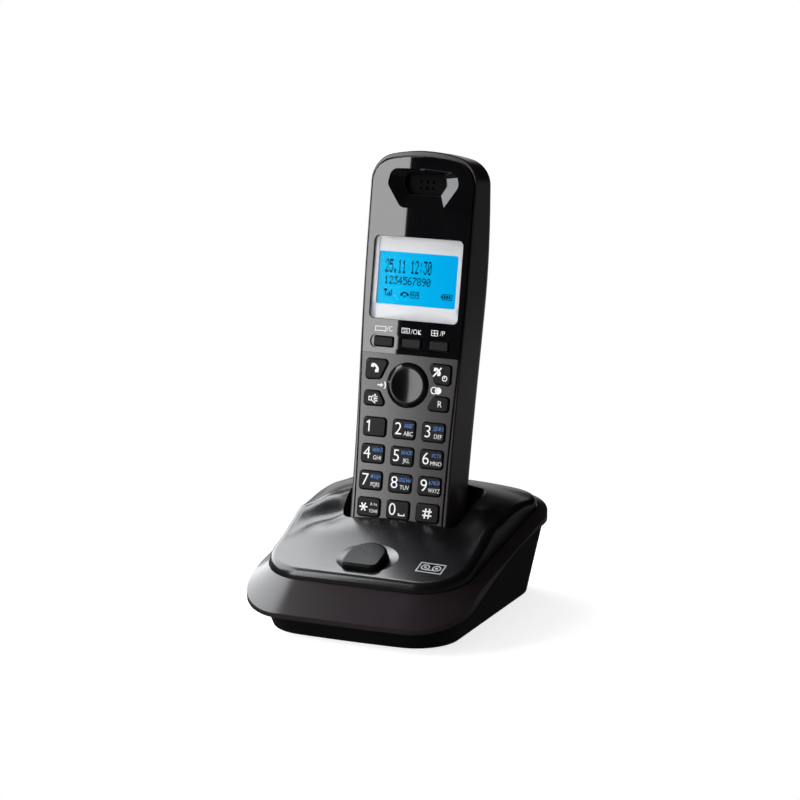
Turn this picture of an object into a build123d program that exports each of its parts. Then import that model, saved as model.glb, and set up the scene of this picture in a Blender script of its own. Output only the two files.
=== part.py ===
from build123d import *
import math
import os

os.makedirs("parts", exist_ok=True)

# Base plan, front edge towards -Y, floor at Z = 0
rim_half_width = 46.5
rim_front = -56.5
rim_back = 56.5
rim_front_corner = 21.0
rim_back_corner = 21.0
panel_half_width = 41.7
panel_front = -43.5
panel_back = 52.5
panel_front_corner = 18.0
panel_back_corner = 16.0
bottom_half_width = 37.9
bottom_front = -48.4
bottom_back = 53.5
bottom_corner = 17.5
bottom_bow = 1.7
flare_half_width = 45.0
flare_front = -62.0
flare_back = 54.6
flare_height = 33.0
edge_bow = 0.4
base_wall = 2.2
base_floor = 2.4

# Feet and fasteners
foot_radius = 5.0
foot_recess = 1.0
foot_stand = 0.4
foot_inset = 13.0
screw_head_radius = 2.6
screw_head_height = 1.6
screw_shank_radius = 1.3
screw_shank_length = 6.0
screw_half_spread = 24.5
screw_front = -22.0
screw_back = 25.0
screw_gap = 0.2
boss_radius = 3.6

# Seam between rim and panel, a plane that climbs to the back
seam_height = 29.0
seam_tilt = 10.2
seam_gap = 0.5
rim_slope = 29.0
rim_rise = 1.2
rim_drop = 12.0
panel_seat = 1.5
ledge_width = 2.2

# Parting line between rim and lower case, side view (Y, Z)
parting_line = [(-64, 6.6), (-43.5, 12.6), (-9.5, 23.0), (11.5, 27.8), (32.5, 30.3), (64, 32.2)]
parting_reach = 90.0

# Panel crown and the scoop in front of the handset
crown_peak_y = 21.5
crown_peak_z = 46.4
crown_curve = 0.0045
crown_rear_curve = 0.006
crown_cross_radius = 147.0
crown_square_start = 32.0
crown_square_end = 56.0
crown_square = 0.55
crown_flat_start = 5.0
crown_flat_end = -20.0
crown_flat = 0.85
crown_reach = 50.0
crown_grid = 4.5
shoulder_start = 6.0
shoulder_end = -10.0
shoulder_curve = 0.006
panel_edge_radius = 3.0
panel_wall = 3.0
scoop_lip_y = -0.5
scoop_lip_z = 37.8
scoop_slope = 17.0
scoop_inner = 18.0
scoop_outer = 32.0
scoop_flare_start = 5.0
scoop_flare = 0.55
scoop_end_start = 2.0
scoop_end = 26.0
scoop_softness = 2.0

# Locator button
locator_y = -30.5
locator_z = 28.7
locator_half_width = 8.0
locator_front = 8.8
locator_front_corner = 3.2
locator_proud = 2.3
locator_depth = 4.0
locator_edge = 1.2
locator_gap = 0.35
locator_stem_radius = 2.4
dish_half_width = 13.0
dish_half_length = 10.4
dish_depth = 1.5
locator_stem = 6.5

# Handset in its own frame: width, height above the foot, depth behind the front face.
# Its half-widths are given at shares of its height.
handset_lean = 10.8
handset_foot_y = -4.6
handset_foot_z = 22.1
handset_height = 158.2
handset_depth = 27.0
handset_top_depth = 20.0
handset_taper_start = 100.0
taper_end_slope = 0.2
case_widths = [(20.4, 0.0), (20.7, 0.316), (21.9, 0.632), (22.2, 0.86)]
case_top_rise = 4.2
case_top_corner = 10.5
case_foot_corner = 9.6
case_rear_radius = 9.0
case_front_radius = 0.5
case_front_set = 0.3
case_wall = 1.8
front_widths = [(18.6, 0.0), (19.3, 0.316), (20.9, 0.582), (21.3, 0.834)]
front_top_set = 2.2
front_top = handset_height - front_top_set
front_foot = 2.0
front_top_rise = 3.6
front_top_corner = 9.6
front_foot_corner = 4.5
front_gap = 0.45
front_edge = 0.3
front_thickness = 2.2
front_ledge = 0.7
fascia_thickness = 1.2
fascia_gap = 0.15
fascia_edge = 0.3

# Heights on the handset's front: the first digit row and the display's top lie at shares of its height,
# the navigator, fascia, soft keys and display follow upwards from that row
row_one_share = 0.316
row_one = row_one_share * handset_height
navigator_above = 17.25
navigator_height = row_one + navigator_above
fascia_above = 11.55
fascia_foot = navigator_height + fascia_above
soft_slot_above = 1.9
soft_slot_low = fascia_foot + soft_slot_above
soft_slot_height = 5.4
soft_slot_high = soft_slot_low + soft_slot_height
frame_above = 6.05
frame_low = soft_slot_high + frame_above
frame_top_share = 0.7876
frame_high = frame_top_share * handset_height
mat_above = 2.4
mat_high = soft_slot_high + mat_above

# Display
frame_half_width = 18.75
frame_corner = 2.2
frame_thickness = 1.6
lcd_half_width = 16.7
lcd_below = 5.85
lcd_above = 6.0
lcd_low = frame_low + lcd_below
lcd_high = frame_high - lcd_above
lcd_corner = 0.8
lcd_margin = 1.6
lens_gap = 0.1

# Earpiece
ear_from_top = 14.6
ear_centre = handset_height - ear_from_top
ear_floor_depth = 4.6
ear_step_depth = 2.4
ear_wall = 1.2
ear_hole_radius = 0.55
ear_hole_pitch = 2.6
ear_edge_corner = 3.4
ear_floor_corner = 1.6
ear_holes_up = 1.5
ear_speaker_radius = 7.5
ear_speaker_depth = 3.0

# Keys
row_pitch = 10.5
column_pitch = 12.44
key_width = 9.6
key_height = 7.3
key_corner = 1.3
key_proud = 0.7
key_edge = 0.55
key_depth = 3.2
key_flange = 0.5
key_flange_height = 0.7
key_gap = 0.3
function_corner = 1.4
navigator_radius = 8.5
navigator_top_radius = 7.3
navigator_proud = 0.9
navigator_depth = 2.6
navigator_gap = 0.4
navigator_dish = 0.4
navigator_dish_radius = 6.6
carrier_radius = 3.6
carrier_gap = 0.45
carrier_height = 1.1
soft_slot_half_width = 17.35
soft_key_width = 8.0
soft_key_height = 3.9
soft_key_pitch = 11.65
soft_slot_depth = 0.7
soft_slot_end = 0.05
soft_key_corner = 0.6
soft_key_sink = 0.25
soft_key_flange = 1.2

# Handset inside
mat_thickness = 0.8
mat_boss_height = 0.8
mat_boss_radius = 2.0
board_depth = 6.0
board_thickness = 1.2
board_inset = 3.4
board_low = 10.0
board_from_top = 24.2
board_high = handset_height - board_from_top
cavity_depth = 12.4
board_post_radius = 2.0
board_post_spread = 12.0
hollow_half_width = 14.5
hollow_corner = 4.0

# Battery bay and door, cells lie along the handset
cell_radius = 5.25
cell_length = 44.5
cell_gap = 0.5
cell_low = 40.0
cell_depth = 19.6
cell_nub = 1.0
cell_nub_radius = 1.9
bay_clearance = 0.4
contact_thickness = 0.5
contact_room = 3.0
contact_spring_radius = 3.0
contact_spring_taper = 18.0
door_low = 34.0
door_high = 97.0
door_half_width = 15.6
door_thickness = 1.5
door_gap = 0.35
door_travel = 9.0
door_grip_count = 5
door_grip_pitch = 2.4
door_grip_width = 14.0
door_grip_depth = 0.6
door_grip_height = 10.0
handset_screw_spread = 9.0
handset_screw_height = 29.5

# Ringer, microphone and charging
ringer_from_top = 37.2
ringer_height = handset_height - ringer_from_top
ringer_radius = 8.0
ringer_thickness = 3.6
ringer_depth = 19.6
ringer_gap = 0.3
ringer_slot_count = 5
ringer_slot_pitch = 2.4
mic_radius = 3.0
mic_height = 8.5
mic_hole_radius = 0.6
mic_depth = 2.2
terminal_spread = 6.5
terminal_width = 6.0
terminal_reach = 9.0
terminal_depth = 9.0
terminal_thickness = 0.6
contact_width = 3.0
contact_leaf = 0.5
contact_arch_radius = 2.6
contact_leg = 5.0
contact_clear = 0.3
contact_gap = 0.5

# Cradle pocket round the handset's foot
pocket_side = 1.2
pocket_front = 0.8
pocket_rear = 0.9
pocket_under = 0.6
pocket_draft = 11.5
pocket_end_draft = 2.0
pocket_corner = 6.0
pocket_reach = 50.0
tub_wall = 1.8

# Base inside and back
base_board_z = 9.4
base_board_thickness = 1.6
base_board_width = 64.0
base_board_front = -38.0
base_board_back = 50.5
base_board_corner = 16.0
switch_size = 6.0
switch_height = 4.2
switch_cap_radius = 1.75
switch_cap_height = 1.2
socket_x = 17.0
socket_face = 53.3
socket_width = 13.0
socket_height = 12.5
socket_length = 14.0
socket_mouth_width = 9.7
socket_mouth_height = 6.7
socket_mouth_depth = 11.0
socket_key_width = 6.1
socket_key_height = 2.2
inlet_x = -17.0
inlet_width = 9.0
inlet_height = 11.0
inlet_length = 13.0
inlet_bore_radius = 3.0
inlet_bore_depth = 9.0
inlet_pin_radius = 1.0
inlet_gap = 0.2

lean = math.radians(handset_lean)
tilt = math.radians(seam_tilt)

FRONT = Plane(
    origin=(0, handset_foot_y, handset_foot_z),
    x_dir=(1, 0, 0),
    z_dir=(0, -math.cos(lean), math.sin(lean)),
)
SIDE = Plane(origin=FRONT.origin, x_dir=FRONT.y_dir, z_dir=(-1, 0, 0))
SEAM = Plane(origin=(0, 0, seam_height), x_dir=(1, 0, 0), z_dir=(0, -math.sin(tilt), math.cos(tilt)))
SEAT = SEAM.offset(-panel_seat)
button_tilt = math.radians(scoop_slope)
LOCATOR = Plane(
    origin=(0, locator_y, locator_z),
    x_dir=(1, 0, 0),
    z_dir=(0, -math.sin(button_tilt), math.cos(button_tilt)),
)


def depth(distance):
    """Plane parallel to the handset's front face, the distance behind it."""
    return FRONT.offset(-distance)


def level(height):
    """Plane across the handset at a height above its foot, seen as width and depth."""
    origin = FRONT.from_local_coords((0, height, 0))
    return Plane(origin=origin, x_dir=FRONT.x_dir, z_dir=FRONT.y_dir)


def finish(part, name):
    """Label a finished piece and write it out."""
    part.label = name
    export_step(part, f"parts/{name}.step")


def plan_outline(half_width, front, back, front_corner, back_corner, bow=edge_bow):
    """Plan of the base: a rectangle with a bowed front edge and round corners."""
    with BuildSketch() as plan:
        with BuildLine():
            ThreePointArc((-half_width, front + bow), (0, front), (half_width, front + bow))
            Polyline(
                (half_width, front + bow),
                (half_width, back),
                (-half_width, back),
                (-half_width, front + bow),
            )
        make_face()
        fillet(plan.vertices().group_by(Axis.Y)[0], front_corner)
        fillet(plan.vertices().group_by(Axis.Y)[-1], back_corner)
    return plan.sketch


def panel_plan(grow, slope_scale=1.0):
    """Plan of the top panel, grown outwards, with its length measured along a slope."""
    return plan_outline(
        panel_half_width + grow,
        panel_front / slope_scale - grow,
        panel_back / slope_scale + grow,
        panel_front_corner + grow,
        panel_back_corner + grow,
    )


def lower_plan(half_width, front, back, inset):
    """Plan of the lower case at one level, drawn in by a wall."""
    corner = bottom_corner - inset
    return plan_outline(half_width - inset, front + inset, back - inset, corner, corner, bottom_bow)


def parting_side(far_height):
    """Side view of all that lies above or below the parting line."""
    with BuildSketch(Plane.YZ) as region:
        with BuildLine():
            line = Spline(*parting_line)
            Polyline(line @ 1, (parting_line[-1][0], far_height), (parting_line[0][0], far_height), line @ 0)
        make_face()
    return region.sketch


def smooth_step(value, low, high):
    """Ease from 0 below low to 1 above high."""
    share = min(1.0, max(0.0, (value - low) / (high - low)))
    return share**3 * (10 - 15 * share + 6 * share * share)


def softened(value, width):
    """The value where it is positive and nothing where it is negative, rounded between."""
    return (value + math.hypot(value, width)) / 2


def crown_height(x, y):
    """Height of the panel's top surface: a pillow with a scoop that fans out forwards."""
    curve = crown_curve if y < crown_peak_y else crown_rear_curve
    pillow = crown_peak_z - curve * (y - crown_peak_y) ** 2
    pillow -= shoulder_curve * max(0.0, shoulder_start - y) ** 2
    chute = scoop_lip_z + math.tan(button_tilt) * (y - scoop_lip_y)
    fan = scoop_flare * softened(scoop_flare_start - y, 2 * scoop_softness)
    across = 1 - smooth_step(abs(x), scoop_inner + fan, scoop_outer + 2 * fan)
    along = 1 - smooth_step(y, scoop_end_start, scoop_end)
    sunk = softened(pillow - chute, scoop_softness) * across * along
    lift = softened(chute - pillow, scoop_softness) * (1 - smooth_step(y, shoulder_end, shoulder_start))
    camber = x * x / (2 * crown_cross_radius)
    camber *= (
        1
        - crown_square * smooth_step(y, crown_square_start, crown_square_end)
        - crown_flat * (1 - smooth_step(y, crown_flat_end, crown_flat_start))
    )
    return pillow + lift - sunk - camber


def crown_solid(drop):
    """Solid under the panel's top surface, lowered by drop."""
    half_count = int(crown_reach / crown_grid)
    half_length = int((rim_back + crown_grid) / crown_grid)
    grid = []
    for row in range(-half_length, half_length + 1):
        y = row * crown_grid
        across = [column * crown_grid for column in range(-half_count, half_count + 1)]
        grid.append([Vector(x, y, crown_height(x, y) - drop) for x in across])
    surface = Face.make_surface_from_array_of_points(grid)
    with BuildPart() as crown:
        extrude(surface, amount=2 * crown_peak_z, dir=(0, 0, -1))
    return crown.part


def handset_outline(widths, foot, top, top_rise, top_corner, foot_corner, inset=0.0):
    """Front view of the handset: sides that swell upwards, a crowned top and round corners."""
    right = [(w - inset, share * handset_height) for w, share in widths]
    right[0] = (right[0][0], foot + inset)
    shoulder = (right[-1][0], top - top_rise - inset)
    with BuildSketch() as outline:
        with BuildLine():
            side = Spline(*right, tangents=[(0, 1), (0, 1)])
            Line(side @ 1, shoulder)
            ThreePointArc(shoulder, (0, top - inset), (-shoulder[0], shoulder[1]))
            other = Spline(*[(-w, h) for w, h in right], tangents=[(0, 1), (0, 1)])
            Line(other @ 1, (-shoulder[0], shoulder[1]))
            Line(side @ 0, other @ 0)
        make_face()
        fillet(outline.vertices().sort_by(Axis.Y)[-2:], top_corner - inset)
        fillet(outline.vertices().group_by(Axis.Y)[0], foot_corner - inset / 2)
    return outline.sketch


def case_outline(inset=0.0):
    """Outline of the rear case."""
    return handset_outline(
        case_widths, 0, handset_height, case_top_rise, case_top_corner, case_foot_corner, inset
    )


def front_outline(inset=0.0):
    """Outline of the front opening and of what fills it."""
    return handset_outline(
        front_widths, front_foot, front_top, front_top_rise, front_top_corner, front_foot_corner, inset
    )


def grown(outline, amount):
    """The outline, wider by the amount all round."""
    with BuildSketch() as wider:
        offset(outline, amount=amount)
    return wider.sketch


def frame_outline(grow=0.0):
    """Outline of the display frame and its lens."""
    with BuildSketch() as outline:
        with Locations((0, (frame_low + frame_high) / 2)):
            RectangleRounded(2 * (frame_half_width + grow), frame_high - frame_low + 2 * grow, frame_corner)
    return outline.sketch


def display_window(grow=0.0):
    """Outline of the visible display area."""
    with BuildSketch() as outline:
        with Locations((0, (lcd_low + lcd_high) / 2)):
            RectangleRounded(2 * (lcd_half_width + grow), lcd_high - lcd_low + 2 * grow, lcd_corner)
    return outline.sketch


def ear_ring(points, corner, grow=0.0):
    """Rounded outline through corner points given from the earpiece's centre."""
    with BuildSketch() as outline:
        with BuildLine():
            FilletPolyline(*[(x, ear_centre + y) for x, y in points], radius=corner, close=True)
        make_face()
        if grow:
            offset(amount=grow, mode=Mode.REPLACE)
    return outline.sketch


def soft_slot(grow=0.0):
    """Slot that frames the three soft keys."""
    height = soft_slot_high - soft_slot_low + 2 * grow
    with BuildSketch() as outline:
        with Locations((0, (soft_slot_low + soft_slot_high) / 2)):
            RectangleRounded(2 * (soft_slot_half_width + grow), height, height / 2 - soft_slot_end)
    return outline.sketch


def digit_outline(column, row):
    """Outline of a dialling key."""
    with BuildSketch() as outline:
        with Locations((column * column_pitch, row_one - row * row_pitch)):
            RectangleRounded(key_width, key_height, key_corner)
    return outline.sketch


def soft_outline(place):
    """Outline of a soft key."""
    with BuildSketch() as outline:
        with Locations((place * soft_key_pitch, (soft_slot_low + soft_slot_high) / 2)):
            RectangleRounded(soft_key_width, soft_key_height, soft_key_corner)
    return outline.sketch


def corner_key_outline(points):
    """Outline of a key that gives way to the round navigator."""
    with BuildSketch() as outline:
        with BuildLine():
            Polyline(*[(x, row_one + y) for x, y in points], close=True)
        make_face()
        fillet(outline.vertices(), function_corner)
    return outline.sketch


def mirrored(points):
    """The same corner points on the other side of the handset."""
    return [(-x, y) for x, y in points]


ear_edge = [(-13.6, 7.2), (0, 7.7), (13.8, 6.8), (15.0, 1.6), (8.8, -7.7), (-8.8, -7.9), (-15.0, 1.0)]
ear_floor = [(-8.3, 5.4), (0, 5.7), (8.3, 5.2), (8.9, 1.5), (6.6, -2.4), (-6.6, -2.5), (-8.9, 1.2)]
upper_key = [(-18.0, 26.4), (-8.2, 26.5), (-11.5, 18.8), (-18.0, 18.4)]
lower_key = [(-17.9, 14.0), (-11.6, 14.0), (-8.2, 8.3), (-17.9, 8.2)]

dial_names = ["1", "2", "3", "4", "5", "6", "7", "8", "9", "star", "0", "hash"]
key_outlines = {}
for index, dial_name in enumerate(dial_names):
    key_outlines[f"key_{dial_name}"] = digit_outline(index % 3 - 1, index // 3)
key_outlines["talk_key"] = corner_key_outline(upper_key)
key_outlines["off_key"] = corner_key_outline(mirrored(upper_key))
key_outlines["speaker_key"] = corner_key_outline(lower_key)
key_outlines["recall_key"] = corner_key_outline(mirrored(lower_key))
soft_outlines = {}
for place, soft_name in enumerate(["soft_key_left", "soft_key_middle", "soft_key_right"]):
    soft_outlines[soft_name] = soft_outline(place - 1)


# Pocket of the cradle and the tub that surrounds it
def cradle_loft(wall):
    """Tapered space round the handset's foot, grown outwards by a wall."""
    with BuildPart() as space:
        for height in (-pocket_under - wall, pocket_reach):
            rise = height + pocket_under
            side = case_widths[0][0] + pocket_side + wall + rise * math.tan(math.radians(pocket_draft))
            end = wall + rise * math.tan(math.radians(pocket_end_draft))
            front = -pocket_front - end
            rear = handset_depth + pocket_rear + end
            with BuildSketch(level(height)):
                with Locations((0, (front + rear) / 2)):
                    RectangleRounded(2 * side, rear - front, pocket_corner + wall)
        loft()
    return space.part


def locator_outline(grow=0.0):
    """Outline of the locator button: round behind, blunt in front."""
    reach = locator_half_width + grow
    blunt = locator_front + grow
    with BuildSketch() as outline:
        with BuildLine():
            arc = CenterArc((0, 0), reach, 0, 180)
            Polyline(arc @ 1, (-reach, -blunt), (reach, -blunt), arc @ 0)
        make_face()
        fillet(outline.vertices().group_by(Axis.Y)[0], locator_front_corner + grow)
    return outline.sketch


def dish_barrel():
    """Barrel lying across the panel that hollows the dish round the locator button."""
    across = Plane(origin=LOCATOR.origin, x_dir=LOCATOR.x_dir, z_dir=-LOCATOR.y_dir)
    axis_height = (dish_half_length**2 - dish_depth**2) / (2 * dish_depth)
    with BuildPart() as barrel:
        with BuildSketch(across):
            with BuildLine():
                ThreePointArc((-dish_half_width, 0), (0, -dish_depth), (dish_half_width, 0))
                Polyline(
                    (dish_half_width, 0),
                    (dish_half_width, axis_height),
                    (-dish_half_width, axis_height),
                    (-dish_half_width, 0),
                )
            make_face()
        revolve(axis=Axis(across.from_local_coords((0, axis_height, 0)), across.x_dir))
    return barrel.part


board_top = base_board_z + base_board_thickness
bay_depth = cell_depth - cell_radius - bay_clearance
bay_half_width = 2 * cell_radius + cell_gap / 2 + bay_clearance
door_mid_width = case_widths[1][0]
hollows = [
    (front_foot + case_wall, door_low - door_travel - case_wall, handset_depth - case_rear_radius / 2),
    (cell_low + cell_length + contact_room + case_wall, ear_centre, handset_top_depth - case_wall),
]
board_post_heights = (door_low, cell_low + cell_length)
board_posts = [(side * board_post_spread, y) for side in (-1, 1) for y in board_post_heights]
handset_screw_places = [(side * handset_screw_spread, handset_screw_height) for side in (-1, 1)]


def door_curve(skin):
    """Section of the rear case at the door, less a skin."""
    with BuildSketch() as section:
        RectangleRounded(2 * (door_mid_width - skin), 2 * (handset_depth - skin), case_rear_radius - skin)
    return section.sketch


def door_section():
    """Section of the battery door, a skin that follows the rear case."""
    with BuildSketch() as section:
        add(door_curve(0))
        add(door_curve(door_thickness), mode=Mode.SUBTRACT)
        with Locations((0, handset_depth)):
            Rectangle(2 * door_half_width, handset_depth, mode=Mode.INTERSECT)
    return section.sketch


def door_channel():
    """Section of the channel that the door slides in."""
    with BuildSketch() as section:
        with Locations((0, handset_depth)):
            Rectangle(2 * (door_half_width + door_gap), handset_depth)
        add(door_curve(door_thickness + door_gap), mode=Mode.SUBTRACT)
    return section.sketch


foot_places = [
    (side * (bottom_half_width - foot_inset), y)
    for side in (-1, 1)
    for y in (bottom_front + foot_inset, bottom_back - foot_inset)
]
screw_places = [(side * screw_half_spread, y) for side in (-1, 1) for y in (screw_front, screw_back)]
inner_floor = foot_stand + base_floor

# Lower case
with BuildPart() as lower_case:
    with BuildSketch(Plane.XY.offset(foot_stand)):
        add(lower_plan(bottom_half_width, bottom_front, bottom_back, 0))
    with BuildSketch(Plane.XY.offset(flare_height)):
        add(lower_plan(flare_half_width, flare_front, flare_back, 0))
    loft()
    fillet(lower_case.faces().sort_by(Axis.Z)[0].edges(), base_wall / 2)
    with BuildSketch(Plane.XY.offset(inner_floor)):
        add(lower_plan(bottom_half_width, bottom_front, bottom_back, base_wall))
    with BuildSketch(Plane.XY.offset(flare_height)):
        add(lower_plan(flare_half_width, flare_front, flare_back, base_wall))
    loft(mode=Mode.SUBTRACT)
    extrude(parting_side(parting_reach), amount=parting_reach, both=True, mode=Mode.SUBTRACT)
    with BuildSketch(Plane.XY.offset(inner_floor)):
        with Locations(*screw_places):
            Circle(boss_radius)
    extrude(amount=base_board_z - inner_floor)
    with BuildSketch(Plane.XY.offset(foot_stand)):
        with Locations(*foot_places):
            Circle(foot_radius)
    extrude(amount=foot_recess, mode=Mode.SUBTRACT)
    with BuildSketch(Plane.XY.offset(foot_stand)):
        with Locations(*screw_places):
            Circle(screw_head_radius + screw_gap)
    extrude(amount=screw_head_height, mode=Mode.SUBTRACT)
    with BuildSketch(Plane.XY.offset(foot_stand)):
        with Locations(*screw_places):
            Circle(screw_shank_radius)
    extrude(amount=screw_head_height + screw_shank_length, mode=Mode.SUBTRACT)
    with BuildSketch(Plane.XZ.offset(socket_length - socket_face)):
        with Locations((socket_x, board_top + socket_height / 2)):
            Rectangle(socket_width + 2 * inlet_gap, socket_height + 2 * inlet_gap)
        with Locations((inlet_x, board_top + inlet_height / 2)):
            Rectangle(inlet_width + 2 * inlet_gap, inlet_height + 2 * inlet_gap)
    extrude(amount=-2 * socket_length, mode=Mode.SUBTRACT)
finish(lower_case.part, "base_lower_case")

# Rubber feet
with BuildPart() as feet:
    with BuildSketch():
        with Locations(*foot_places):
            Circle(foot_radius)
    extrude(amount=foot_stand + foot_recess)
    fillet(feet.faces().group_by(Axis.Z)[0].edges(), foot_stand / 2)
finish(feet.part, "base_feet")

# Screws that close the base
with BuildPart() as base_screws:
    with BuildSketch(Plane.XY.offset(foot_stand + screw_gap)):
        with Locations(*screw_places):
            Circle(screw_head_radius)
    extrude(amount=screw_head_height - screw_gap)
    with BuildSketch(Plane.XY.offset(foot_stand + screw_head_height)):
        with Locations(*screw_places):
            Circle(screw_shank_radius)
    extrude(amount=screw_shank_length)
finish(base_screws.part, "base_screws")

# Space that the panel fills above its seat on the rim
with BuildPart() as panel_space:
    with BuildSketch():
        add(panel_plan(seam_gap))
    extrude(amount=2 * crown_peak_z)
    split(bisect_by=SEAT, keep=Keep.TOP)

# Rim, a sloping band between lower case and panel
with BuildPart() as rim:
    for rise in (rim_rise, -rim_drop):
        with BuildSketch(SEAM.offset(rise)):
            add(panel_plan(-rise / math.tan(math.radians(rim_slope)), math.cos(tilt)))
    loft()
    with BuildSketch():
        add(plan_outline(rim_half_width, rim_front, rim_back, rim_front_corner, rim_back_corner))
    extrude(amount=2 * crown_peak_z, mode=Mode.INTERSECT)
    extrude(parting_side(-parting_reach), amount=parting_reach, both=True, mode=Mode.SUBTRACT)
    add(panel_space.part, mode=Mode.SUBTRACT)
    with BuildSketch():
        add(panel_plan(-ledge_width))
    extrude(amount=2 * crown_peak_z, mode=Mode.SUBTRACT)
finish(rim.part, "base_rim")

# Top panel with the cradle tub
crown = crown_solid(0)
with BuildPart() as panel_hollow:
    add(crown_solid(panel_wall))
    with BuildSketch():
        add(panel_plan(-panel_wall))
    extrude(amount=2 * crown_peak_z, mode=Mode.INTERSECT)
with BuildPart() as tub:
    add(cradle_loft(tub_wall))
    add(crown, mode=Mode.INTERSECT)
pocket = cradle_loft(0)

with BuildPart() as top_panel:
    add(crown)
    with BuildSketch():
        add(panel_plan(0))
    extrude(amount=2 * crown_peak_z, mode=Mode.INTERSECT)
    fillet(top_panel.faces().sort_by(Axis.Z)[-1].edges(), panel_edge_radius)
    split(bisect_by=SEAT, keep=Keep.TOP)
    add(panel_hollow.part, mode=Mode.SUBTRACT)
    add(tub.part)
    add(pocket, mode=Mode.SUBTRACT)
    add(dish_barrel(), mode=Mode.SUBTRACT)
    with BuildSketch(LOCATOR.offset(-panel_wall - dish_depth - scoop_softness)):
        add(locator_outline(locator_gap))
    extrude(amount=4 * panel_wall, mode=Mode.SUBTRACT)
    with BuildSketch(level(-pocket_under)):
        with Locations((-terminal_spread, terminal_depth), (terminal_spread, terminal_depth)):
            Rectangle(contact_width + 2 * contact_gap, 2 * (contact_arch_radius + contact_gap))
    extrude(amount=2 * tub_wall, both=True, mode=Mode.SUBTRACT)
finish(top_panel.part, "base_top_panel")

# Locator button, with a stem down to its switch
with BuildPart() as locator_button:
    with BuildSketch(LOCATOR.offset(-locator_depth)):
        add(locator_outline())
    extrude(amount=locator_depth + locator_proud)
    fillet(locator_button.faces().sort_by(Axis.Z)[-1].edges(), locator_edge)
    with BuildSketch(LOCATOR.offset(-locator_depth)):
        Circle(locator_stem_radius)
    extrude(amount=-locator_stem)
finish(locator_button.part, "locator_button")

# Base board and what stands on it
with BuildPart() as base_board:
    with BuildSketch(Plane.XY.offset(base_board_z)):
        with Locations((0, (base_board_front + base_board_back) / 2)):
            RectangleRounded(base_board_width, base_board_back - base_board_front, base_board_corner)
    extrude(amount=base_board_thickness)
finish(base_board.part, "base_board")

stem_end = LOCATOR.from_local_coords((0, 0, -locator_depth - locator_stem))
with BuildPart() as locator_switch:
    with BuildSketch(Plane.XY.offset(board_top)):
        with Locations((0, stem_end.Y)):
            Rectangle(switch_size, switch_size)
    extrude(amount=switch_height)
    with BuildSketch(Plane.XY.offset(board_top + switch_height)):
        with Locations((0, stem_end.Y)):
            Circle(switch_cap_radius)
    extrude(amount=switch_cap_height)
finish(locator_switch.part, "locator_switch")

with BuildPart() as line_socket:
    socket_mid_z = board_top + socket_height / 2
    with BuildSketch(Plane.XZ.offset(-socket_face)):
        with Locations((socket_x, socket_mid_z)):
            Rectangle(socket_width, socket_height)
    extrude(amount=socket_length)
    with BuildSketch(Plane.XZ.offset(-socket_face)):
        with Locations((socket_x, socket_mid_z)):
            Rectangle(socket_mouth_width, socket_mouth_height)
        with Locations((socket_x, socket_mid_z - socket_mouth_height / 2)):
            Rectangle(socket_key_width, 2 * socket_key_height)
    extrude(amount=socket_mouth_depth, mode=Mode.SUBTRACT)
finish(line_socket.part, "line_socket")

with BuildPart() as power_inlet:
    inlet_mid_z = board_top + inlet_height / 2
    with BuildSketch(Plane.XZ.offset(-socket_face)):
        with Locations((inlet_x, inlet_mid_z)):
            Rectangle(inlet_width, inlet_height)
    extrude(amount=inlet_length)
    with BuildSketch(Plane.XZ.offset(-socket_face)):
        with Locations((inlet_x, inlet_mid_z)):
            Circle(inlet_bore_radius)
            Circle(inlet_pin_radius, mode=Mode.SUBTRACT)
    extrude(amount=inlet_bore_depth, mode=Mode.SUBTRACT)
finish(power_inlet.part, "power_inlet")

# Sprung charge contacts under the handset's foot
for side, contact_name in ((-1, "charge_contact_left"), (1, "charge_contact_right")):
    arch_height = -contact_clear - contact_arch_radius
    with BuildPart() as contact:
        with BuildSketch(SIDE.offset(-side * terminal_spread - contact_width / 2)):
            with Locations((arch_height, terminal_depth)):
                Circle(contact_arch_radius)
                Circle(contact_arch_radius - contact_leaf, mode=Mode.SUBTRACT)
            with Locations((arch_height - contact_arch_radius / 2, terminal_depth)):
                Rectangle(contact_arch_radius, 2 * contact_arch_radius, mode=Mode.SUBTRACT)
            for turn in (-1, 1):
                across = terminal_depth + turn * (contact_arch_radius - contact_leaf / 2)
                with Locations((arch_height - contact_leg / 2, across)):
                    Rectangle(contact_leg, contact_leaf)
        extrude(amount=contact_width)
    finish(contact.part, contact_name)

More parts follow.
